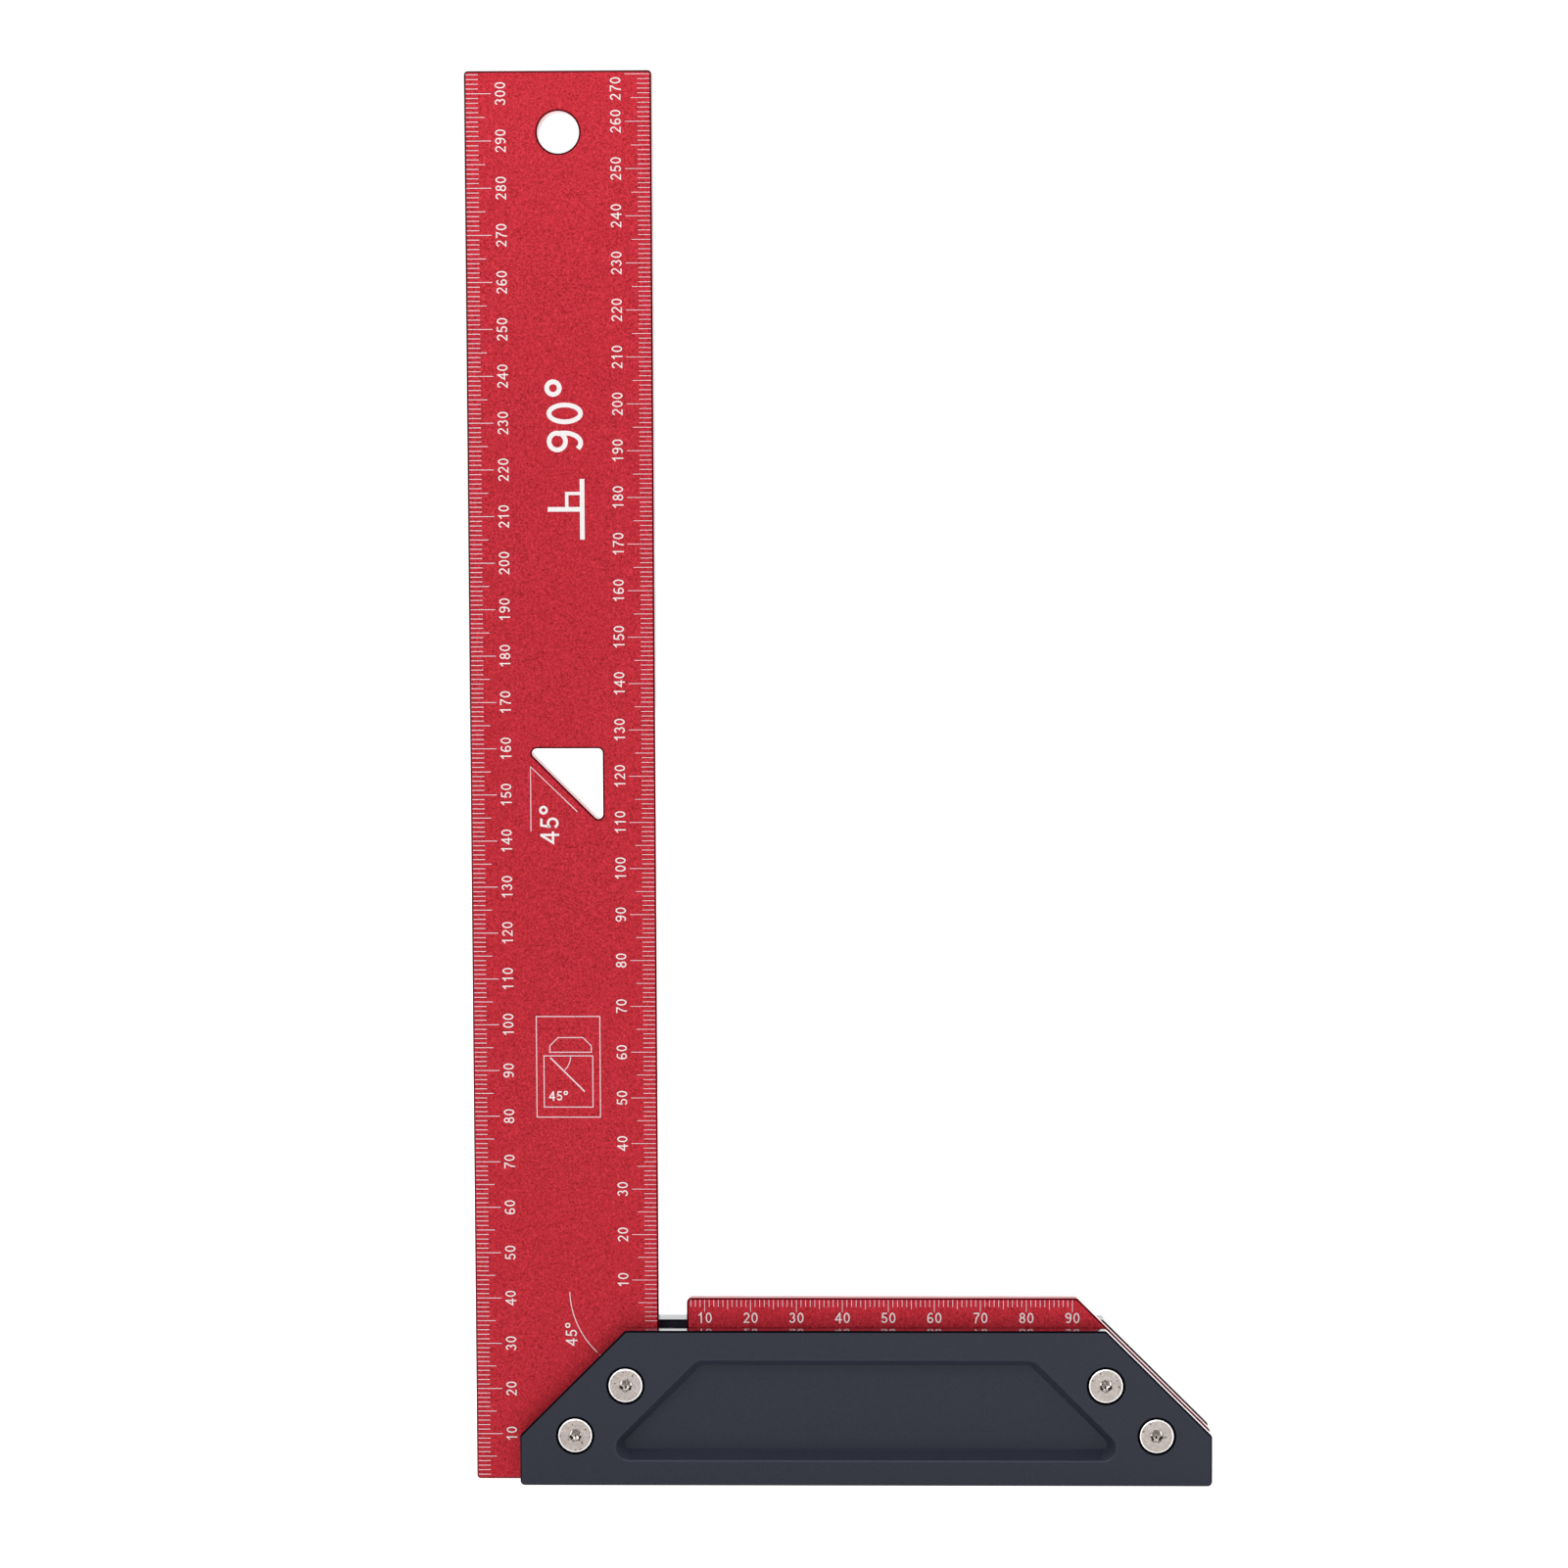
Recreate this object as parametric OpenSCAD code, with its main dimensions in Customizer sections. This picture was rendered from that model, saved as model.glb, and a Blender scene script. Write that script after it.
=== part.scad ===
// Fixed carpenter's square: a graduated blade held between the two plates of a wide stock.
// It stands on the stock's base: +Z up the blade, +X along the stock, front towards -Y.
// The origin is at the middle of the footprint, at the bottom.

/* [Blade] */
// Width of the blade
blade_w = 40; // [32:1:60]
// Length of the blade
blade_l = 304.8; // [200:0.1:500]
// Thickness of the blade and of the scale plate beside it
blade_t = 6; // [2:0.5:10]
// Rounding of the blade's corners
blade_corner_r = 0.8; // [0.2:0.1:3]

/* [Hanging hole] */
// Diameter of the hanging hole
hang_d = 9; // [4:0.5:16]
// Distance from the end of the blade to the centre of the hole
hang_from_end = 13; // [10:0.5:25]

/* [Angle window] */
// Length of the window's two square sides
window_leg = 16.7; // [8:0.1:20]
// Rounding of the window's corners
window_r = 1; // [0.2:0.1:1.2]
// Height of the window's level side above the base
window_top = 160; // [65:1:170]
// Distance from the window's upright side to the blade's inner edge
window_edge = 11.4; // [4:0.1:15]

/* [Stock] */
// Length of the stock's plates
stock_l = 150; // [120:1:260]
// Height of the stock's plates
stock_h = 34; // [28:0.5:60]
// Thickness of each plate
plate_t = 6; // [4:0.5:12]
// Size of the 45 degree bevel at each end of the plates
bevel = 23; // [19:0.5:28]
// Rounding of the plates' corners
plate_corner_r = 1; // [0.2:0.1:2]

/* [Finger recess] */
// Width of the rim below the recess
recess_bottom = 5.5; // [3:0.1:8]
// Width of the rim above the recess
recess_top = 6.4; // [3:0.1:8]
// Distance from the line of the screws to the recess, square to the bevel
recess_side = 7; // [6:0.1:12]
// Depth of the recess
recess_depth = 3.6; // [0.5:0.1:4.5]
// Width of the sloping wall round the recess
recess_slope = 1.8; // [0.4:0.1:2.4]
// Rounding of the recess's lower corners
recess_low_r = 3; // [2.5:0.1:5]
// Rounding of the recess's upper corners
recess_high_r = 3; // [2.5:0.1:5]

/* [Scale plate] */
// Width of the relief slot between the blade and the scale plate
slot_w = 6.1; // [4:0.1:12]
// Height of the scale plate's edge above the stock's plates
scale_rise = 6; // [3:0.5:10]
// Rounding of the scale plate's corners
scale_corner_r = 1; // [0.2:0.1:2]

/* [Screws] */
// Thread diameter
thread_d = 4; // [3:0.5:5]
// Head diameter
head_d = 7.6; // [7:0.1:9]
// Height of the straight rim at the top of the head
head_rim = 0.3; // [0.3:0.1:0.8]
// Chamfer at the screw's tip
tip_chamfer = 0.5; // [0.2:0.1:0.8]
// Width across the flats of the hexagon socket
socket_af = 2.5; // [2:0.5:3]
// Depth of the hexagon socket
socket_depth = 1.9; // [1:0.1:2.2]
// Distance from each corner of a bevel to the screw beside it
screw_inset = 12; // [10:0.5:14.5]
// Distance from the inner screw of the blade to the blade's inner edge
screw_margin = 7; // [5:0.5:12]
// Distance from the screws' tips to the stock's back face
tip_gap = 1; // [0:0.1:2]

/* [Clearances] */
// Radial clearance of a screw in its thread
thread_gap = 0.05; // [0.02:0.01:0.1]
// Radial clearance of a screw in a plain hole
hole_gap = 0.15; // [0.1:0.05:0.5]
// Radial clearance round the rim of a screw's head
head_gap = 0.25; // [0.1:0.05:0.3]

/* [Hidden] */
SCREW_NODES = ["screw_blade_outer", "screw_blade_inner", "screw_end_inner", "screw_end_outer"];

$fn = 64;
run_out = 1;                              // how far a cutter runs past a face
corner_steps = 6;                         // flats round a corner of an outline
skin = 0.01;                              // thickness of the two ends of a sloping cutter

// Along the stock, from the blade's outer edge to the far end
overlap = bevel + screw_margin;           // how far the plates reach across the blade
total_w = max(blade_w - overlap, 0) + stock_l;
stock_x1 = total_w / 2;
stock_x0 = stock_x1 - stock_l;
blade_x1 = stock_x0 + overlap;
blade_x0 = blade_x1 - blade_w;
scale_x0 = blade_x1 + slot_w;

// Through the stock, from the front face to the back face
blade_front = -blade_t / 2;
blade_back = blade_t / 2;
front_y = blade_front - plate_t;
back_y = blade_back + plate_t;

// Up the stock
end_h = stock_h - bevel;                  // height of the plates' upright ends
scale_h = stock_h + scale_rise;
scale_bevel = scale_h - end_h;            // in line with the plates' bevel

// Screws, from left to right: two through the blade, two through the scale plate
high_screw_z = stock_h - screw_inset;
SCREWS = [[stock_x0 + screw_inset, end_h], [stock_x0 + bevel, high_screw_z],
          [stock_x1 - bevel, high_screw_z], [stock_x1 - screw_inset, end_h]];
thread_r = thread_d / 2;
head_r = head_d / 2;
head_depth = head_rim + head_r - thread_r;
screw_l = back_y - tip_gap - front_y;

// Recess
recess_z0 = recess_bottom;
recess_z1 = stock_h - recess_top;
recess_level = screw_inset + recess_side * sqrt(2);    // from the bevel to the recess, measured level

// A convex outline, listed anticlockwise, with each of its corners rounded to its own radius
function unit(v) = v / norm(v);
function corner(p, before, after, r) =
    let (u = unit(before - p), v = unit(after - p), half = acos(u * v) / 2,
         centre = p + unit(u + v) * r / sin(half),
         start = p + u * r / tan(half) - centre,
         turn = 180 - 2 * half)
    [for (i = [0 : corner_steps])
        let (a = turn * i / corner_steps)
        centre + [start[0] * cos(a) - start[1] * sin(a), start[0] * sin(a) + start[1] * cos(a)]];
function rounded(points, radii) =
    let (n = len(points))
    [for (i = [0 : n - 1])
        each corner(points[i], points[(i + n - 1) % n], points[(i + 1) % n], radii[i])];

// The recess's outline, moved in from its rim; its sloping sides run parallel to the bevels
function recess_outline(inset) =
    let (z0 = recess_z0 + inset, z1 = recess_z1 - inset,
         reach = recess_level - end_h + inset * sqrt(2),
         low_r = recess_low_r - inset, high_r = recess_high_r - inset)
    rounded([[stock_x0 + reach + z0, z0], [stock_x1 - reach - z0, z0],
             [stock_x1 - reach - z1, z1], [stock_x0 + reach + z1, z1]],
            [low_r, low_r, high_r, high_r]);

// An outline in X and Z, given its thickness along Y
module slab(y0, y1) {
    translate([0, y1, 0]) rotate([90, 0, 0]) linear_extrude(y1 - y0) children();
}

// Places a part that is drawn along +Z so that it runs back from the front face at a screw
module at_screw(i) {
    translate([SCREWS[i][0], front_y, SCREWS[i][1]]) rotate([-90, 0, 0]) children();
}

module plain_holes(screws) {
    for (i = screws)
        at_screw(i) cylinder(r = thread_r + hole_gap, h = screw_l);
}

module blade() {
    outline = rounded([[blade_x0, 0], [blade_x1, 0], [blade_x1, blade_l], [blade_x0, blade_l]],
                      [for (i = [1 : 4]) blade_corner_r]);
    window_x = blade_x1 - window_edge;
    window = rounded([[window_x, window_top - window_leg], [window_x, window_top],
                      [window_x - window_leg, window_top]],
                     [for (i = [1 : 3]) window_r]);
    color("firebrick") difference() {
        slab(blade_front, blade_back) polygon(outline);
        slab(blade_front - run_out, blade_back + run_out) polygon(window);
        slab(blade_front - run_out, blade_back + run_out)
            translate([(blade_x0 + blade_x1) / 2, blade_l - hang_from_end]) circle(d = hang_d);
        plain_holes([0, 1]);
    }
}

module scale_plate() {
    outline = rounded([[scale_x0, 0], [stock_x1, 0], [stock_x1, end_h],
                       [stock_x1 - scale_bevel, scale_h], [scale_x0, scale_h]],
                      [for (i = [1 : 5]) scale_corner_r]);
    color("firebrick") difference() {
        slab(blade_front, blade_back) polygon(outline);
        plain_holes([2, 3]);
    }
}

// Cuts the recess with its sloping wall into the front face
module recess() {
    rise = recess_slope / recess_depth;
    hull() {
        slab(front_y - run_out, front_y - run_out + skin) polygon(recess_outline(-rise * run_out));
        slab(front_y + recess_depth - skin, front_y + recess_depth)
            polygon(recess_outline(recess_slope));
    }
}

// One plate of the stock, as the front one lies, before its holes are made
module plate_blank() {
    outline = rounded([[stock_x0, 0], [stock_x1, 0], [stock_x1, end_h],
                       [stock_x1 - bevel, stock_h], [stock_x0 + bevel, stock_h], [stock_x0, end_h]],
                      [for (i = [1 : 6]) plate_corner_r]);
    difference() {
        slab(front_y, blade_front) polygon(outline);
        recess();
    }
}

// A plain hole whose countersink seats the cone of the screw's head
module countersunk_hole() {
    mouth_r = head_r + head_gap;
    hole_r = thread_r + hole_gap;
    rotate_extrude() polygon([[0, -run_out], [mouth_r, -run_out], [mouth_r, head_rim - head_gap],
                              [hole_r, head_depth - hole_gap], [hole_r, plate_t + run_out],
                              [0, plate_t + run_out]]);
}

module front_plate() {
    color("darkslateblue") difference() {
        plate_blank();
        for (i = [0 : 3]) at_screw(i) countersunk_hole();
    }
}

module back_plate() {
    color("darkslateblue") difference() {
        mirror([0, 1, 0]) plate_blank();
        for (i = [0 : 3])
            at_screw(i) translate([0, 0, blade_back - run_out - front_y])
                cylinder(r = thread_r + thread_gap, h = plate_t + 2 * run_out);
    }
}

// A countersunk screw with a hexagon socket
module screw(i) {
    color("silver") at_screw(i) difference() {
        rotate_extrude() polygon([[0, 0], [head_r, 0], [head_r, head_rim], [thread_r, head_depth],
                                  [thread_r, screw_l - tip_chamfer],
                                  [thread_r - tip_chamfer, screw_l], [0, screw_l]]);
        translate([0, 0, -run_out])
            cylinder(d = socket_af / cos(30), h = socket_depth + run_out, $fn = 6);
    }
}

blade();
scale_plate();
front_plate();
back_plate();
for (i = [0 : 3])
    screw(i);
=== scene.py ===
"""Finishes, edges, graduations and studio for a fixed carpenter's square."""

import math

import bmesh
import bpy
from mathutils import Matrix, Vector


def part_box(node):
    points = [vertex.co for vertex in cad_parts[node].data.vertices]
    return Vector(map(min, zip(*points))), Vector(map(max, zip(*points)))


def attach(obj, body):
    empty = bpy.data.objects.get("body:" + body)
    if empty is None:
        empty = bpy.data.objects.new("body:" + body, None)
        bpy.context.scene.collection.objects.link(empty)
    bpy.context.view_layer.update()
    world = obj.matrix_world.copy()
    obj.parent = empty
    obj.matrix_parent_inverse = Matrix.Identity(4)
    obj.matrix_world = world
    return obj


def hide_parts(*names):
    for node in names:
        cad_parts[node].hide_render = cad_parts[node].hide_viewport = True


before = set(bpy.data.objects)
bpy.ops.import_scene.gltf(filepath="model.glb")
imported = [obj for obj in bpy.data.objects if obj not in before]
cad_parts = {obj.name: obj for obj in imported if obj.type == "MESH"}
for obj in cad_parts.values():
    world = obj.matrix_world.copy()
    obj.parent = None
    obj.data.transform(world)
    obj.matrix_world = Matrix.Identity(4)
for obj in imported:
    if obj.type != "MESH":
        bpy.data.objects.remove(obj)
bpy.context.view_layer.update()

MM = 0.001
WELD = 0.001 * MM                        # points this close are taken as one
BLADE_LO, BLADE_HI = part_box("blade")
SCALE_LO, SCALE_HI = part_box("scale_plate")
PLATE_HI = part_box("front_plate")[1]
SCREWS = ["screw_blade_outer", "screw_blade_inner", "screw_end_inner", "screw_end_outer"]
FACE_Y = BLADE_LO.y                      # front face of the blade and of the scale plate
HOLE_MARGIN = 0.6 * MM                   # how far round a screw's head its holes may reach
SCREW_HOLES = [((lo.x + hi.x) / 2, (lo.z + hi.z) / 2, (hi.x - lo.x) / 2 + HOLE_MARGIN)
               for lo, hi in map(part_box, SCREWS)]


# ---------------------------------------------------------------- camera and studio

LENS = 93.3
CAMERA_AT = (0.0080, -0.8765, 0.2175)
CAMERA_TURN = (85.729, 0.218, 1.313)     # degrees
KEY_POWER = 5.5
FILL_POWER = 0.85
# Strength of the surrounding light, from straight behind the camera (0) to straight ahead (1)
SURROUND = ((0.0, 0.50), (0.08, 0.60), (0.20, 1.20), (0.36, 1.30), (0.44, 1.00), (0.50, 0.35),
            (0.58, 0.45), (0.75, 1.10), (1.0, 1.15))
CURVE_TOP = 2.0                          # above the strongest of these
KEY_AT = (-0.25, -0.75, 0.75)
KEY_SIZE = (0.35, 0.35)
FILL_AT = (0.30, -0.70, 0.15)
FILL_SIZE = (0.3, 0.3)
FLOOR_SIZE = 6
FLOOR_DROP = 0.02 * MM                   # how far the floor lies below the stock's base
FLOOR_GLOW = 0.7
WHITE_LIGHT = (1, 1, 1, 1)


def make_camera():
    data = bpy.data.cameras.new("camera")
    data.lens = LENS
    data.clip_end = 100
    camera = bpy.data.objects.new("camera", data)
    camera.location = CAMERA_AT
    camera.rotation_euler = [math.radians(a) for a in CAMERA_TURN]
    bpy.context.collection.objects.link(camera)
    bpy.context.scene.camera = camera


def area_light(name, place, target, size, power):
    data = bpy.data.lights.new(name, "AREA")
    data.shape = "RECTANGLE"
    data.size, data.size_y = size
    data.energy = power
    light = bpy.data.objects.new(name, data)
    light.location = place
    light.rotation_euler = (Vector(target) - Vector(place)).to_track_quat("-Z", "Y").to_euler()
    bpy.context.collection.objects.link(light)


def make_world():
    """White to the camera; the light it casts varies from behind the camera to straight ahead."""
    world = bpy.data.worlds.new("studio")
    bpy.context.scene.world = world
    world.use_nodes = True
    tree = world.node_tree
    tree.nodes.clear()
    direction = tree.nodes.new("ShaderNodeTexCoord")
    split = tree.nodes.new("ShaderNodeSeparateXYZ")
    ramp = tree.nodes.new("ShaderNodeFloatCurve")
    curve = ramp.mapping.curves[0]
    curve.points[0].location = SURROUND[0]
    curve.points[1].location = SURROUND[-1]
    for place, strength in SURROUND[1:-1]:
        curve.points.new(place, strength)
    for point in curve.points:
        point.handle_type = "VECTOR"
    ramp.mapping.clip_max_y = CURVE_TOP
    ramp.mapping.update()
    turn = tree.nodes.new("ShaderNodeMapRange")
    turn.inputs["From Min"].default_value = -1.0
    glow = tree.nodes.new("ShaderNodeBackground")
    seen = tree.nodes.new("ShaderNodeBackground")
    path = tree.nodes.new("ShaderNodeLightPath")
    choose = tree.nodes.new("ShaderNodeMixShader")
    output = tree.nodes.new("ShaderNodeOutputWorld")
    glow.inputs["Color"].default_value = WHITE_LIGHT
    seen.inputs["Color"].default_value = WHITE_LIGHT
    for source, target in (
            (direction.outputs["Generated"], split.inputs["Vector"]),
            (split.outputs["Y"], turn.inputs["Value"]),
            (turn.outputs["Result"], ramp.inputs["Value"]),
            (ramp.outputs["Value"], glow.inputs["Strength"]),
            (path.outputs["Is Camera Ray"], choose.inputs["Fac"]),
            (glow.outputs["Background"], choose.inputs[1]),
            (seen.outputs["Background"], choose.inputs[2]),
            (choose.outputs["Shader"], output.inputs["Surface"])):
        tree.links.new(source, target)


def make_studio():
    make_world()
    bpy.context.scene.view_settings.view_transform = "Standard"
    bpy.ops.mesh.primitive_plane_add(size=FLOOR_SIZE, location=(0, 0, -FLOOR_DROP))
    floor = bpy.context.object
    floor.name = "floor"
    pale = bpy.data.materials.new("pale_floor")
    pale.use_nodes = True
    shader = pale.node_tree.nodes["Principled BSDF"]
    shader.inputs["Base Color"].default_value = (0.8, 0.8, 0.8, 1)
    shader.inputs["Roughness"].default_value = 0.9
    shader.inputs["Emission Color"].default_value = WHITE_LIGHT
    shader.inputs["Emission Strength"].default_value = FLOOR_GLOW
    floor.data.materials.append(pale)
    top = Vector((BLADE_LO.x, FACE_Y, BLADE_HI.z))
    foot = Vector((SCALE_HI.x, FACE_Y, SCALE_LO.z))
    area_light("key", KEY_AT, top, KEY_SIZE, KEY_POWER)
    area_light("fill", FILL_AT, foot, FILL_SIZE, FILL_POWER)


# ---------------------------------------------------------------- materials

MOTTLE = 70                              # the mottle is this much coarser than the grain
FLECK = 0.62                             # the flecks' scale, as a share of the grain's
CUTTER_LINES = (0.02, 1, 0.02)           # stretches noise into lines that run along a side
PIT = (0.10, 0.085, 0.07)                # colour of a dent in the nickel
DARKER = 0.80                            # the nickel's mottle, as shares of its tone
LIGHTER = 1.18


class Finish:
    """A procedural material, with a few helpers for its node tree."""

    def __init__(self, name, colour, metallic, roughness):
        self.material = bpy.data.materials.new(name)
        self.material.use_nodes = True
        self.tree = self.material.node_tree
        self.shader = self.tree.nodes["Principled BSDF"]
        self.shader.inputs["Base Color"].default_value = (*colour, 1)
        self.shader.inputs["Metallic"].default_value = metallic
        self.shader.inputs["Roughness"].default_value = roughness
        self.where = self.node("ShaderNodeTexCoord").outputs["Object"]

    def node(self, kind, **settings):
        made = self.tree.nodes.new(kind)
        for name, value in settings.items():
            setattr(made, name, value)
        return made

    def link(self, source, target):
        self.tree.links.new(source, target)

    def noise(self, scale, detail=2.0, roughness=0.5, stretch=None):
        """Noise with its grain set in object space; stretch scales its axes."""
        source = self.where
        if stretch:
            mapping = self.node("ShaderNodeMapping")
            mapping.inputs["Scale"].default_value = stretch
            self.link(source, mapping.inputs["Vector"])
            source = mapping.outputs["Vector"]
        made = self.node("ShaderNodeTexNoise")
        made.inputs["Scale"].default_value = scale
        made.inputs["Detail"].default_value = detail
        made.inputs["Roughness"].default_value = roughness
        self.link(source, made.inputs["Vector"])
        return made.outputs["Fac"]

    def spread(self, value, low, high, to_low, to_high):
        """Maps a value's range onto another, clamped."""
        made = self.node("ShaderNodeMapRange")
        for name, number in (("From Min", low), ("From Max", high), ("To Min", to_low),
                             ("To Max", to_high)):
            made.inputs[name].default_value = number
        self.link(value, made.inputs["Value"])
        return made.outputs["Result"]

    def mix(self, factor, first, second):
        """Mixes two colours; either may be a colour or a socket."""
        made = self.node("ShaderNodeMix", data_type="RGBA")
        self.link(factor, made.inputs["Factor"])
        for name, value in (("A", first), ("B", second)):
            socket = [s for s in made.inputs if s.name == name and s.type == "RGBA"][0]
            if isinstance(value, tuple):
                socket.default_value = (*value, 1)
            else:
                self.link(value, socket)
        return [s for s in made.outputs if s.type == "RGBA"][0]

    def colour(self, source):
        self.link(source, self.shader.inputs["Base Color"])

    def roughness(self, source):
        self.link(source, self.shader.inputs["Roughness"])

    def bump(self, height, strength, distance):
        made = self.node("ShaderNodeBump")
        made.inputs["Strength"].default_value = strength
        made.inputs["Distance"].default_value = distance
        self.link(height, made.inputs["Height"])
        self.link(made.outputs["Normal"], self.shader.inputs["Normal"])


def anodised(name, colour, light, dark, roughness, grain, specks, metallic):
    """Bead-blasted and dyed: a fine grain of pits over a faint mottle, and a few larger specks."""
    finish = Finish(name, colour, metallic, roughness)
    pits = finish.noise(grain, detail=3, roughness=0.65)
    mottle = finish.noise(grain / MOTTLE, detail=2)
    flecks = finish.noise(grain * FLECK, detail=0)
    base = finish.mix(finish.spread(pits, 0.36, 0.64, 0, 1), dark, light)
    base = finish.mix(finish.spread(mottle, 0.35, 0.65, 0, 0.3), base, colour)
    base = finish.mix(finish.spread(flecks, 0.69, 0.74, 0, specks), base, light)
    base = finish.mix(finish.spread(flecks, 0.31, 0.26, 0, specks), base, dark)
    finish.colour(base)
    finish.roughness(finish.spread(pits, 0.3, 0.7, roughness - 0.06, roughness + 0.06))
    finish.bump(pits, 0.25, 0.02 * MM)
    return finish.material


def milled(name, colour, light, roughness):
    """The plates' sides and chamfers, milled smooth: long cutter lines and more gloss; the chamfers'
    near-black colours are a painted shade.
    """
    finish = Finish(name, colour, 1.0, roughness)
    lines = finish.noise(2200, detail=3, stretch=CUTTER_LINES)
    patches = finish.noise(160, detail=2)
    finish.colour(finish.mix(finish.spread(lines, 0.35, 0.65, 0, 1), colour, light))
    finish.roughness(finish.spread(patches, 0.3, 0.7, roughness, roughness + 0.1))
    finish.bump(lines, 0.15, 0.01 * MM)
    return finish.material


def nickel(name, tone, roughness, dents):
    """Cold-forged steel under nickel plate: warm grey, mottled, with small dents."""
    finish = Finish(name, tone, 1.0, roughness)
    skin = finish.noise(2400, detail=3, roughness=0.6)
    stains = finish.noise(420, detail=2)
    holes = finish.noise(1500, detail=0)
    darker = tuple(DARKER * c for c in tone)
    lighter = tuple(min(1, LIGHTER * c) for c in tone)
    look = finish.mix(finish.spread(skin, 0.35, 0.65, 0, 1), darker, lighter)
    look = finish.mix(finish.spread(stains, 0.45, 0.65, 0, 0.5), look, darker)
    look = finish.mix(finish.spread(holes, 0.74, 0.78, 0, dents), look, PIT)
    finish.colour(look)
    finish.roughness(finish.spread(skin, 0.3, 0.7, roughness - 0.05, roughness + 0.05))
    finish.bump(skin, 0.3, 0.02 * MM)
    return finish.material


def etched(name, colour, light):
    """Laser-etched marking: matt and a little uneven."""
    finish = Finish(name, colour, 0.0, 0.75)
    grain = finish.noise(5000, detail=2)
    finish.colour(finish.mix(finish.spread(grain, 0.35, 0.65, 0, 1), colour, light))
    finish.bump(grain, 0.1, 0.01 * MM)
    return finish.material


RED = anodised("red_anodised", (0.320, 0.011, 0.020), (0.425, 0.023, 0.036), (0.205, 0.005, 0.010),
               roughness=0.50, grain=3100, specks=1.0, metallic=0.86)
RED_SIDE = milled("red_milled_side", (0.38, 0.075, 0.085), (0.50, 0.12, 0.13), roughness=0.10)
# Near-black copy of the red for the chamfers and the screw bores: painted shade of the joint grooves
# and bores
RED_EDGE_PAINTED_SHADE = milled("red_edge_painted_shade", (0.09, 0.002, 0.006), (0.13, 0.004, 0.010), roughness=0.26)
NAVY = anodised("navy_anodised", (0.0078, 0.0095, 0.020), (0.011, 0.013, 0.025),
                (0.0055, 0.007, 0.0155), roughness=0.55, grain=3200, specks=0.5, metallic=0.5)
# Lighter copy of the navy for the recess walls: painted light on the walls
NAVY_WALL_PAINTED_LIGHT = anodised("navy_recess_wall_painted_light", (0.020, 0.023, 0.040), (0.025, 0.028, 0.047),
                     (0.016, 0.019, 0.034), roughness=0.55, grain=3200, specks=0.5, metallic=0.5)
NAVY_SIDE = milled("navy_milled_side", (0.28, 0.29, 0.31), (0.38, 0.39, 0.41), roughness=0.10)
# Near-black copy of the navy for the chamfers: painted shade of the joint grooves
NAVY_EDGE_PAINTED_SHADE = milled("navy_edge_painted_shade", (0.002, 0.002, 0.004), (0.004, 0.004, 0.006), roughness=0.30)
# Near-black navy for the countersink walls round the screws: painted shade in the gap round each head
NAVY_BORE_PAINTED_SHADE = anodised("navy_bore_painted_shade", (0.002, 0.0025, 0.004), (0.003, 0.0035, 0.005),
                     (0.001, 0.0015, 0.002), roughness=0.7, grain=3200, specks=0.0, metallic=1.0)
NICKEL = nickel("screw_nickel", (0.35, 0.312, 0.29), roughness=0.42, dents=0.9)
# Near-white copy of the nickel for the rim: painted highlight
NICKEL_RIM_PAINTED_HIGHLIGHT = nickel("screw_rim_painted_highlight", (0.97, 0.95, 0.93), roughness=0.45, dents=0.0)
# Bright copy of the nickel for the socket: painted highlight
NICKEL_SOCKET_PAINTED_HIGHLIGHT = nickel("screw_socket_painted_highlight", (0.80, 0.76, 0.73), roughness=0.24, dents=0.0)
# Near-black copy of the nickel: painted shade in the socket and in the gap round the head
NICKEL_PAINTED_SHADE = nickel("screw_painted_shade", (0.008, 0.007, 0.006), roughness=0.50, dents=0.0)
# The finest lines let some of the red through
WHITE = etched("white_marking", (0.455, 0.435, 0.43), (0.515, 0.49, 0.485))
FAINT = etched("faint_marking", (0.42, 0.32, 0.35), (0.50, 0.42, 0.45))


# ---------------------------------------------------------------- plates

EDGE = 0.38 * MM                         # chamfer round every plate
MOUTH_EDGE = 0.15 * MM                   # and round each countersink's mouth
RECESS_EDGE = 0.28 * MM                  # blend round the recess's mouth
BLASTED = 0.4                            # a face that looks this much front or back is blasted
FLAT = 0.95                              # and one that looks this much that way is flat
RELIEF = 0.55 * MM                       # how far the outline of an eased plate is drawn in at its rear
RELIEF_DEPTH = 3.5 * MM                  # and over how much of its thickness
BROAD = 40 * MM * MM                     # area above which a face is shaded flat
# Angles between two faces, in degrees
COPLANAR = 0.5                           # below this they are one face
SOFT = 30                                # below this their edge is shaded smooth
SQUARE = 60                              # above this their edge is chamfered
# Places of a plate's finishes among its materials
FACE, SIDE, CHAMFER, WALL, HOLE = range(5)


def near_a_screw(point):
    return any(math.hypot(point.x - x, point.z - z) < reach for x, z, reach in SCREW_HOLES)


def is_side(face):
    return abs(face.normal.y) < BLASTED


def sharp_edges(mesh, degrees):
    """The outward edges whose faces meet at more than this angle."""
    return [e for e in mesh.edges
            if e.is_manifold and e.is_convex and e.calc_face_angle() > math.radians(degrees)]


def bevel(mesh, edges, width, segments):
    """Bevels the edges and returns the new faces."""
    if not edges:
        return []
    return bmesh.ops.bevel(mesh, geom=edges, offset=width, segments=segments, profile=0.5,
                           affect="EDGES", clamp_overlap=False)["faces"]


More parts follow.
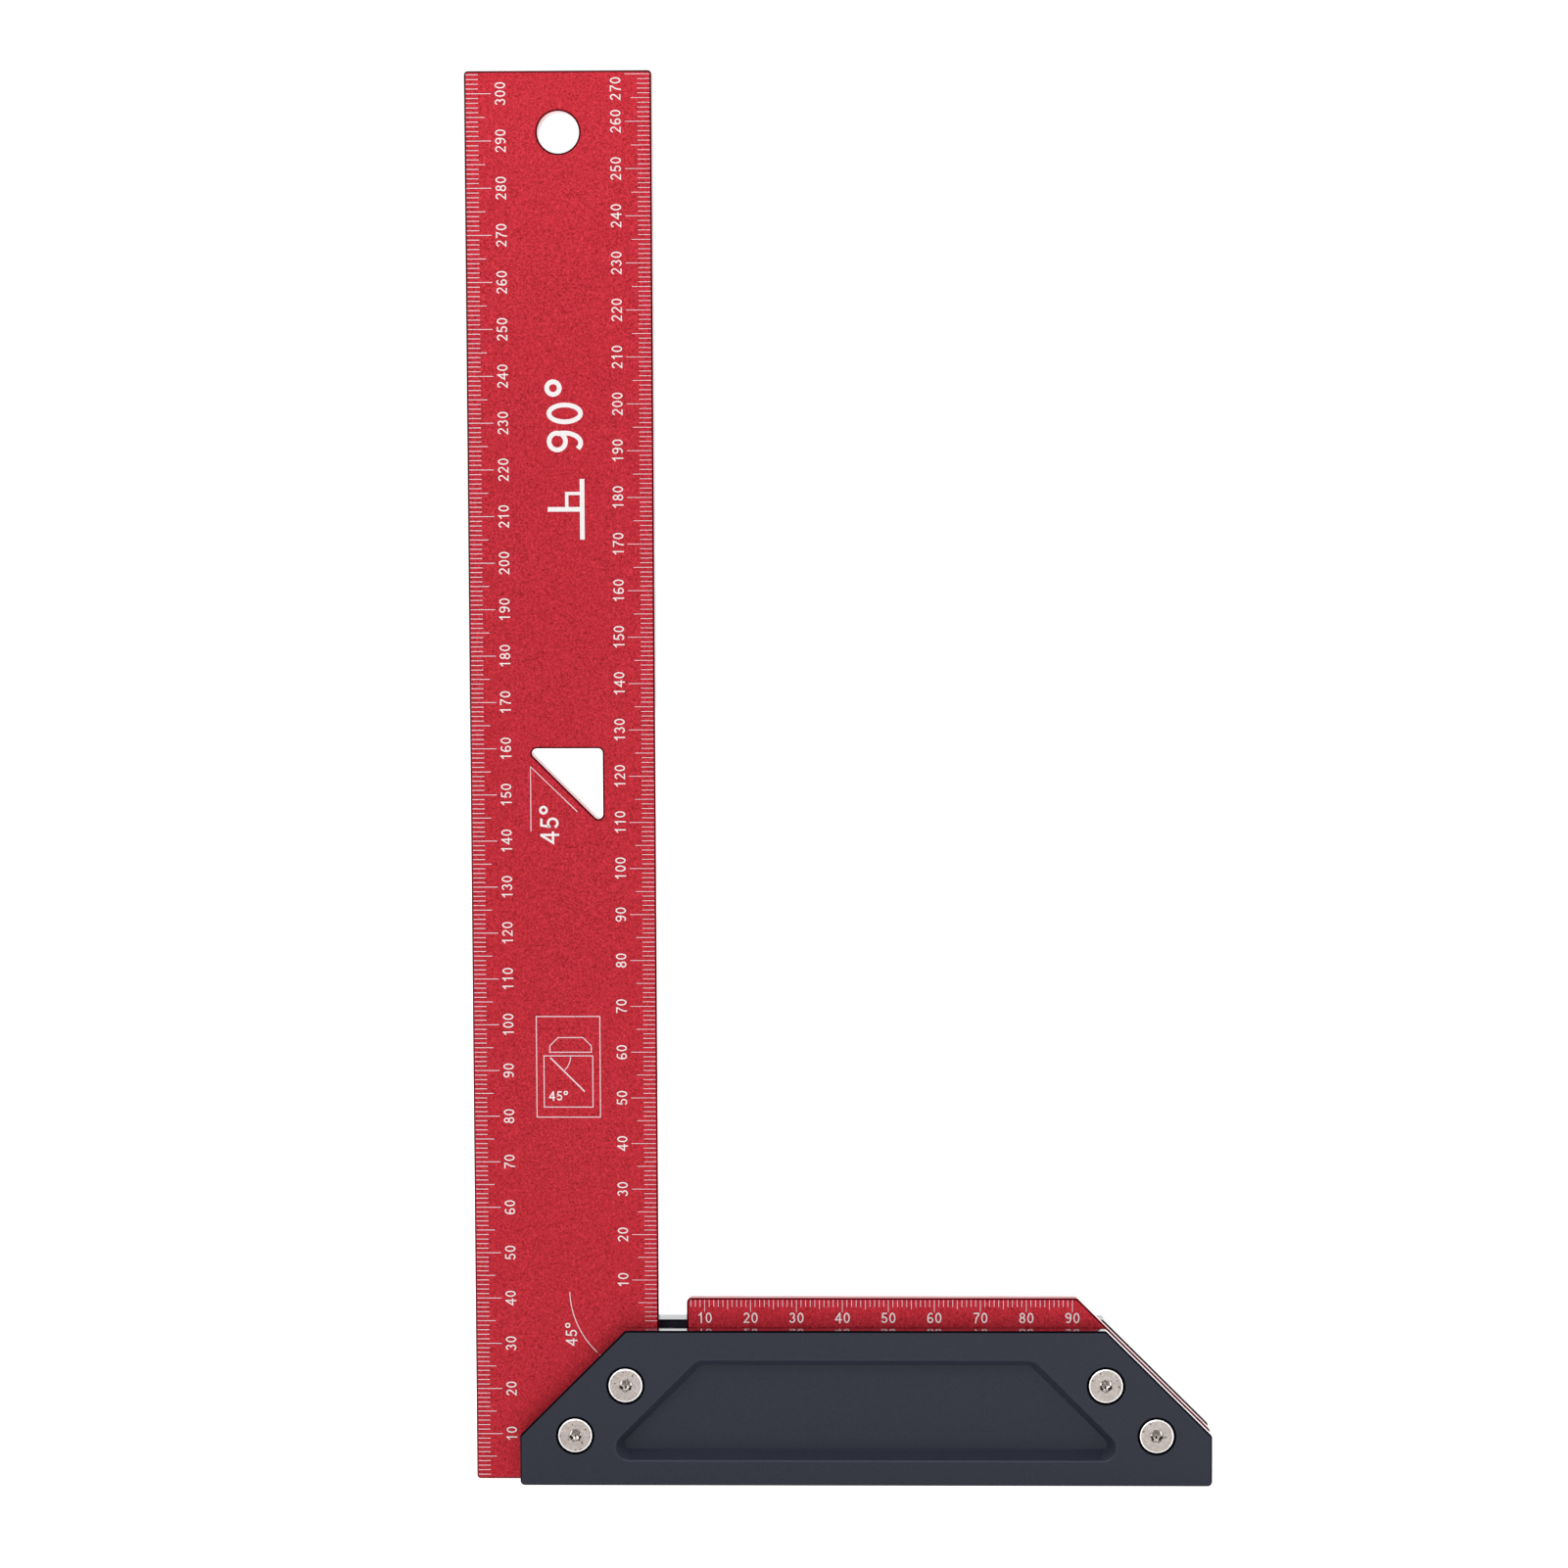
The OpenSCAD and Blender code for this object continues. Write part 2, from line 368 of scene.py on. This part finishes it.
def ease_rear_edge(mesh):
    """Draws the outline in a little at the rear face, which shows the joint between plates."""
    rear = max(v.co.y for v in mesh.verts)
    bmesh.ops.bisect_plane(mesh, geom=mesh.verts[:] + mesh.edges[:] + mesh.faces[:],
                           plane_co=(0, rear - RELIEF_DEPTH, 0), plane_no=(0, 1, 0))
    for vertex in mesh.verts:
        if vertex.co.y > rear - WELD and not near_a_screw(vertex.co):
            outward = Vector((0, 0, 0))
            for face in vertex.link_faces:
                if is_side(face):
                    outward += Vector((face.normal.x, 0, face.normal.z)).normalized()
            if outward.length > 0:
                vertex.co -= outward.normalized() * RELIEF


def plate(node, finishes, eased=False):
    """The CAD plate with dressed edges; its finishes are in the order of FACE to HOLE."""
    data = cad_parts[node].data.copy()
    data.materials.clear()
    for finish in finishes:
        data.materials.append(finish)
    mesh = bmesh.new()
    mesh.from_mesh(data)
    bmesh.ops.remove_doubles(mesh, verts=mesh.verts, dist=WELD)
    bmesh.ops.dissolve_limit(mesh, angle_limit=math.radians(COPLANAR), verts=mesh.verts,
                             edges=mesh.edges)
    if eased:
        ease_rear_edge(mesh)
        mesh.normal_update()
    rims = [e for e in sharp_edges(mesh, SOFT) if not near_a_screw(e.verts[0].co)
            and not any(is_side(f) for f in e.link_faces)]
    bevel(mesh, rims, RECESS_EDGE, 3)
    front = min(v.co.y for v in mesh.verts) + WELD
    mouths = [e for e in sharp_edges(mesh, SOFT) if node == "front_plate"
              and all(near_a_screw(v.co) and v.co.y < front for v in e.verts)]
    bevel(mesh, mouths, MOUTH_EDGE, 1)
    outer = [e for e in sharp_edges(mesh, SQUARE) if not near_a_screw(e.verts[0].co)
             and any(is_side(f) for f in e.link_faces) and not all(is_side(f) for f in e.link_faces)]
    for face in bevel(mesh, outer, EDGE, 1):
        face.tag = True
    mesh.normal_update()
    for face in mesh.faces:
        face.smooth = True
        steep = abs(face.normal.y) < FLAT
        if steep and all(near_a_screw(v.co) for v in face.verts):
            face.material_index = HOLE
        elif face.tag:
            face.material_index = CHAMFER
        elif is_side(face):
            face.material_index = SIDE
        else:
            face.material_index = WALL if steep else FACE
    for edge in mesh.edges:
        broad = any(f.calc_area() > BROAD for f in edge.link_faces)
        edge.smooth = not broad and edge.is_manifold and edge.calc_face_angle() < math.radians(SOFT)
    mesh.to_mesh(data)
    mesh.free()
    piece = bpy.data.objects.new(node + "_finished", data)
    bpy.context.collection.objects.link(piece)
    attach(piece, "root")
    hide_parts(node)


# ---------------------------------------------------------------- screws

RING = 48                                # points round a screw
SOCKET_AF = 2.5 * MM                     # across the flats of the socket
SOCKET_DEPTH = 1.6 * MM                  # of its straight sides
POINT_DEPTH = 2.2 * MM                   # of the low six-sided point in its floor
POINT_R = 0.02 * MM                      # the point's blunt end
CREASE = 0.32 * MM                       # width of the band round the point's foot
LEAD_IN = 0.12 * MM                      # chamfer at the socket's mouth
RIM_CHAMFER = 0.30 * MM                  # chamfer round the head; its inner part has a painted highlight and its outer part a painted shade
RIM_TURN = (1 / 4, 0.40)                 # where it turns down: shares of it inwards and down
RIM_END = 0.9                            # and where it ends: share of it down
HEAD_TRIM = 0.09 * MM                    # the head's edge is worn in by this
THREAD_R = 2.0 * MM                      # this and the next two as in the CAD
HEAD_RIM = 0.3 * MM
TIP_CHAMFER = 0.5 * MM
CREASED = 25                             # degrees above which an edge is shaded sharp
# Two patches of painted shade in the socket, as angles from straight below: on the point, and round its
# foot
SHADED_FOLD = math.radians(15)
SHADED_LOW_SIDE = (math.radians(28), math.radians(76))
# Places of the finishes among a screw's materials; RIM and SOCKET carry painted highlights and DARK
# carries painted shade
PLAIN, RIM, SOCKET, DARK = range(4)
POINT_BAND, FOOT_BAND = 0, 1             # bands between two rings, counted from the point
# Band 5 is the rim's painted highlight, and band 6 is the painted shade of the gap round the head
BAND_FINISHES = {POINT_BAND: SOCKET, FOOT_BAND: SOCKET, 5: RIM, 6: DARK}
CLOCKING = {"screw_blade_outer": 8, "screw_blade_inner": 21, "screw_end_inner": 34,
            "screw_end_outer": 49}       # degrees that each socket is turned


def round_ring(radius, depth):
    return [(radius, depth)] * RING


def hex_ring(apothem, depth):
    """Points on a hexagon, one for each direction of the ring."""
    step = 360 / RING
    return [(apothem / math.cos(math.radians((i * step) % 60 - 30)), depth) for i in range(RING)]


def screw(node):
    """A countersunk screw turned from rings, from the socket's point out and down to the tip."""
    low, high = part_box(node)
    middle = (low + high) / 2
    head_r, length = high.x - middle.x - HEAD_TRIM, high.y - low.y
    apothem = SOCKET_AF / 2
    rings = [
        hex_ring(POINT_R, POINT_DEPTH), hex_ring(apothem - CREASE, SOCKET_DEPTH),
        hex_ring(apothem, SOCKET_DEPTH), hex_ring(apothem, LEAD_IN),
        hex_ring(apothem + LEAD_IN, 0), round_ring(head_r - RIM_CHAMFER, 0),
        round_ring(head_r - RIM_CHAMFER * RIM_TURN[0], RIM_CHAMFER * RIM_TURN[1]),
        round_ring(head_r, RIM_CHAMFER * RIM_END), round_ring(head_r, HEAD_RIM),
        round_ring(THREAD_R, HEAD_RIM + head_r - THREAD_R),
        round_ring(THREAD_R, length - TIP_CHAMFER), round_ring(THREAD_R - TIP_CHAMFER, length),
    ]
    mesh = bmesh.new()
    turn = math.radians(CLOCKING[node])
    loops = []
    for ring in rings:
        loop = []
        for i, (radius, depth) in enumerate(ring):
            a = turn + math.tau * i / RING
            loop.append(mesh.verts.new((middle.x + radius * math.cos(a), low.y + depth,
                                        middle.z + radius * math.sin(a))))
        loops.append(loop)
    for band, (inner, outer) in enumerate(zip(loops, loops[1:])):
        for i in range(RING):
            j = (i + 1) % RING
            face = mesh.faces.new((inner[i], inner[j], outer[j], outer[i]))
            below = (turn + math.tau * (i + 0.5) / RING + math.pi / 2) % math.tau
            below = min(below, math.tau - below)
            # The dark faces are painted shade
            dark = (band == POINT_BAND and below < SHADED_FOLD
                    or band == FOOT_BAND and SHADED_LOW_SIDE[0] < below < SHADED_LOW_SIDE[1])
            face.material_index = DARK if dark else BAND_FINISHES.get(band, PLAIN)
    mesh.faces.new(list(reversed(loops[0]))).material_index = SOCKET
    mesh.faces.new(loops[-1])
    bmesh.ops.recalc_face_normals(mesh, faces=mesh.faces)
    for face in mesh.faces:
        face.smooth = True
    for edge in mesh.edges:
        edge.smooth = edge.calc_face_angle() < math.radians(CREASED)
    data = bpy.data.meshes.new(node + "_finished")
    mesh.to_mesh(data)
    mesh.free()
    for finish in (NICKEL, NICKEL_RIM_PAINTED_HIGHLIGHT, NICKEL_SOCKET_PAINTED_HIGHLIGHT, NICKEL_PAINTED_SHADE):
        data.materials.append(finish)
    piece = bpy.data.objects.new(node + "_finished", data)
    bpy.context.collection.objects.link(piece)
    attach(piece, "root")
    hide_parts(node)


# ---------------------------------------------------------------- strokes and lettering

PROUD = 0.02 * MM                        # how far a marking stands above the face
SUNK = 0.02 * MM                         # and how far it reaches into it
LAYER = 0.002 * MM                       # crossing strokes lie this far apart
LAYERS = 4                               # and take this many levels in turn
MITRE = 0.5                              # limits how far a sharp corner reaches
ARC_STEP = 15                            # degrees between points of a drawn arc


def arc(cx, cy, rx, ry, start, end, step=ARC_STEP):
    """Points along an ellipse, from one angle to another."""
    count = max(2, round(abs(end - start) / step))
    angles = [math.radians(start + (end - start) * i / count) for i in range(count + 1)]
    return [(cx + rx * math.cos(a), cy + ry * math.sin(a)) for a in angles]


# Each character as strokes in a box 1 high; a stroke is the middle line of the pen
GLYPHS = {
    "0": (0.62, [arc(0.31, 0.5, 0.22, 0.415, 90, 450)]),
    "1": (0.62, [[(0.37, 0.0), (0.37, 1.0)], [(0.37, 0.90), (0.13, 0.70)]]),
    "2": (0.62, [arc(0.31, 0.68, 0.21, 0.235, 170, -30) + [(0.10, 0.085), (0.56, 0.085)]]),
    "3": (0.62, [arc(0.29, 0.71, 0.19, 0.205, 165, -80), arc(0.29, 0.30, 0.22, 0.215, 85, -165)]),
    "4": (0.68, [[(0.48, 0.0), (0.48, 0.97)], [(0.48, 0.95), (0.08, 0.32), (0.66, 0.32)]]),
    "5": (0.62, [[(0.54, 0.915), (0.18, 0.915), (0.12, 0.50)]
                 + arc(0.30, 0.33, 0.23, 0.245, 135, -155)]),
    "6": (0.62, [arc(0.31, 0.30, 0.22, 0.215, 0, 360), arc(0.35, 0.48, 0.26, 0.435, 205, 55)]),
    "7": (0.62, [[(0.07, 0.915), (0.55, 0.915)] + arc(0.75, 0.05, 0.50, 0.78, 120, 184)]),
    "8": (0.62, [arc(0.31, 0.715, 0.185, 0.20, 0, 360), arc(0.31, 0.295, 0.22, 0.21, 0, 360)]),
    "9": (0.62, [arc(0.31, 0.70, 0.22, 0.215, 0, 360), arc(0.27, 0.52, 0.26, 0.435, 25, -125)]),
    "°": (0.48, [arc(0.24, 0.80, 0.165, 0.165, 0, 360)]),
}
GAP = 0.11                               # between characters, as a share of their height


class Marking:
    """A set of thin strokes that become one piece; a faint stroke has the fainter finish."""

    def __init__(self, name):
        self.name = name
        self.mesh = bmesh.new()
        self.layer = 0

    def stroke(self, points, width, faint=False):
        """A closed ribbon along points in X and Z, with mitred corners."""
        closed = math.dist(points[0], points[-1]) < WELD
        if closed:
            points = points[:-1]
        count = len(points)
        self.layer = (self.layer + 1) % LAYERS
        front = FACE_Y - PROUD - LAYER * self.layer
        rows = []
        for i, (x, z) in enumerate(points):
            before = points[i - 1] if i or closed else None
            after = points[(i + 1) % count] if i < count - 1 or closed else None
            sides = []
            for a, b in ((before, (x, z)), ((x, z), after)):
                if a and b:
                    length = math.dist(a, b)
                    sides.append(Vector((a[1] - b[1], b[0] - a[0])) / length)
            normal = sum(sides, Vector((0, 0))).normalized()
            reach = width / 2 / max(MITRE, normal.dot(sides[0]))
            section = ((1, front), (-1, front), (-1, FACE_Y + SUNK), (1, FACE_Y + SUNK))
            rows.append([self.mesh.verts.new((x + s * normal[0] * reach, y, z + s * normal[1] * reach))
                         for s, y in section])
        for i in range(count if closed else count - 1):
            here, there = rows[i], rows[(i + 1) % count]
            for k in range(4):
                face = self.mesh.faces.new((here[k], here[(k + 1) % 4], there[(k + 1) % 4], there[k]))
                face.material_index = int(faint)
        if not closed:
            self.mesh.faces.new(rows[0]).material_index = int(faint)
            self.mesh.faces.new(list(reversed(rows[-1]))).material_index = int(faint)

    def text(self, words, height, pen, start, upright):
        """Lettering from start; upright reads along +X, and otherwise it reads up the blade."""
        along = 0.0
        for letter in words:
            width, strokes = GLYPHS[letter]
            for points in strokes:
                local = [((along + u) * height, v * height) for u, v in points]
                if upright:
                    placed = [(start[0] + u, start[1] + v) for u, v in local]
                else:
                    placed = [(start[0] - v, start[1] + u) for u, v in local]
                self.stroke(placed, pen)
            along += width + GAP

    def finish(self):
        bmesh.ops.recalc_face_normals(self.mesh, faces=self.mesh.faces)
        data = bpy.data.meshes.new(self.name)
        self.mesh.to_mesh(data)
        self.mesh.free()
        data.materials.append(WHITE)
        data.materials.append(FAINT)
        piece = bpy.data.objects.new(self.name, data)
        bpy.context.collection.objects.link(piece)
        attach(piece, "root")


def length_of(words, height):
    return (sum(GLYPHS[c][0] + GAP for c in words) - GAP) * height


# ---------------------------------------------------------------- graduations

OUTER_TICK = 0.15 * MM                   # width of a graduation on each scale
INNER_TICK = 0.12 * MM
STOCK_TICK = 0.13 * MM
FIGURE = 2.4 * MM                        # height of the scales' figures
FIGURE_PEN = 0.26 * MM
BLADE_TICKS = (3.0 * MM, 4.4 * MM, 5.7 * MM)      # every 1, 5 and 10 mm
STOCK_TICKS = (1.9 * MM, 2.4 * MM, 3.0 * MM)
INSET = EDGE                             # ticks start inside the chamfer
OUTER_LAST = 304                         # last graduation of each scale of the blade
INNER_LAST = 270
OUTER_FIGURES = 8.9 * MM                 # from the blade's edges to the foot of the figures
INNER_FIGURES = 6.5 * MM
LAST_DROP = 3.1 * MM                     # the figure by the blade's end stands this much lower
STOCK_FIRST = 7                          # first and last graduation of the short scale
STOCK_LAST = 90
STOCK_FIGURES = 5.5 * MM                 # from the plate's edge to the foot of the figures


def tick_length(number, lengths):
    return lengths[2] if number % 10 == 0 else lengths[1] if number % 5 == 0 else lengths[0]


def blade_scale(name, edge_x, inward, tick, zero_z, last, figure_base, last_drop=0.0):
    """Graduations along one edge of the blade, with figures that read upwards."""
    marks = Marking(name)
    for number in range(1, last + 1):
        z = zero_z + number * MM
        marks.stroke([(edge_x + inward * INSET, z),
                      (edge_x + inward * tick_length(number, BLADE_TICKS), z)], tick, faint=True)
        if number % 10 == 0:
            words = str(number)
            middle = z - (last_drop if number == last else 0.0)
            marks.text(words, FIGURE, FIGURE_PEN,
                       (figure_base, middle - length_of(words, FIGURE) / 2), upright=False)
    marks.finish()


def stock_scale(name):
    """The short scale on the scale plate, measured from the blade's inner edge."""
    marks = Marking(name)
    top = SCALE_HI.z
    for number in range(STOCK_FIRST, STOCK_LAST + 1):
        x = BLADE_HI.x + number * MM
        marks.stroke([(x, top - INSET), (x, top - tick_length(number, STOCK_TICKS))], STOCK_TICK,
                     faint=True)
        if number % 10 == 0:
            words = str(number)
            marks.text(words, FIGURE, FIGURE_PEN,
                       (x - length_of(words, FIGURE) / 2, top - STOCK_FIGURES), upright=True)
    marks.finish()


# ---------------------------------------------------------------- the blade's other marks

THIN = 0.19 * MM                         # pens, from the finest to the broadest
MEDIUM = 0.30 * MM
FIRM = 0.7 * MM
HEAVY = 1.0 * MM
USE_SIGN_AT = (13.8, 79.8)               # lower corner of the framed drawing, in mm as below


def spot(x, z):
    """A point given in mm from the blade's outer edge and from its foot."""
    return BLADE_LO.x + x * MM, BLADE_LO.z + z * MM


def on_blade(points):
    return [spot(x, z) for x, z in points]


def angle_marks():
    """Guides beside the 45 degree window, and the arc above the stock."""
    marks = Marking("angle_marks")
    marks.stroke(on_blade([(13.0, 142.1), (13.0, 156.1), (23.1, 146.3)]), THIN, faint=True)
    marks.text("45°", 4.2 * MM, 0.50 * MM, spot(19.1, 139.3), upright=False)
    marks.stroke(on_blade(arc(40, 42, 19.4, 19.4, 182, 226, step=3)), THIN, faint=True)
    marks.text("45°", 2.6 * MM, 0.29 * MM, spot(22.2, 29.4), upright=False)
    marks.finish()


def right_angle_sign():
    """Two perpendicular lines with a small square between them, and their angle."""
    marks = Marking("right_angle_sign")
    marks.stroke(on_blade([(24.6, 205.0), (24.6, 218.0)]), HEAVY)
    marks.stroke(on_blade([(17.2, 211.5), (24.6, 211.5)]), HEAVY)
    marks.stroke(on_blade([(21.3, 211.5), (21.3, 214.9), (24.6, 214.9)]), FIRM)
    marks.text("90°", 8.2 * MM, HEAVY, spot(25.1, 223.5), upright=False)
    marks.finish()


def use_sign():
    """A framed drawing: a square held against a board to mark it at 45 degrees."""
    marks = Marking("use_sign")
    left, foot = USE_SIGN_AT

    def draw(points, width=THIN):
        marks.stroke(on_blade([(left + u, foot + v) for u, v in points]), width, faint=True)

    draw([(0, 0), (13.8, 0), (13.8, 22), (0, 22), (0, 0)])
    draw([(1.6, 13.4), (1.6, 2.2), (12.2, 2.2), (12.2, 13.4), (1.6, 13.4)])
    draw([(2.9, 14.2), (11.9, 14.2), (11.9, 15.6), (10.1, 17.4), (4.7, 17.4), (2.9, 15.6),
          (2.9, 14.2)])
    draw([(3.0, 13.0), (10.4, 5.6)], MEDIUM)
    draw(arc(3.0, 13.4, 4.4, 4.4, -45, -3, step=6))
    marks.text("45°", 2.1 * MM, 0.28 * MM, spot(left + 2.6, foot + 3.6), upright=True)
    marks.finish()


make_camera()
make_studio()
REDS = (RED, RED_SIDE, RED_EDGE_PAINTED_SHADE, RED, RED_EDGE_PAINTED_SHADE)
NAVIES = (NAVY, NAVY_SIDE, NAVY_EDGE_PAINTED_SHADE, NAVY_WALL_PAINTED_LIGHT, NAVY_BORE_PAINTED_SHADE)
plate("blade", REDS)
plate("scale_plate", REDS, eased=True)
plate("front_plate", NAVIES, eased=True)
plate("back_plate", NAVIES)
for name in SCREWS:
    screw(name)
blade_scale("outer_scale", BLADE_LO.x, 1, OUTER_TICK, 0.0, OUTER_LAST, BLADE_LO.x + OUTER_FIGURES)
blade_scale("inner_scale", BLADE_HI.x, -1, INNER_TICK, PLATE_HI.z, INNER_LAST,
            BLADE_HI.x - INNER_FIGURES, LAST_DROP)
stock_scale("stock_scale")
angle_marks()
right_angle_sign()
use_sign()
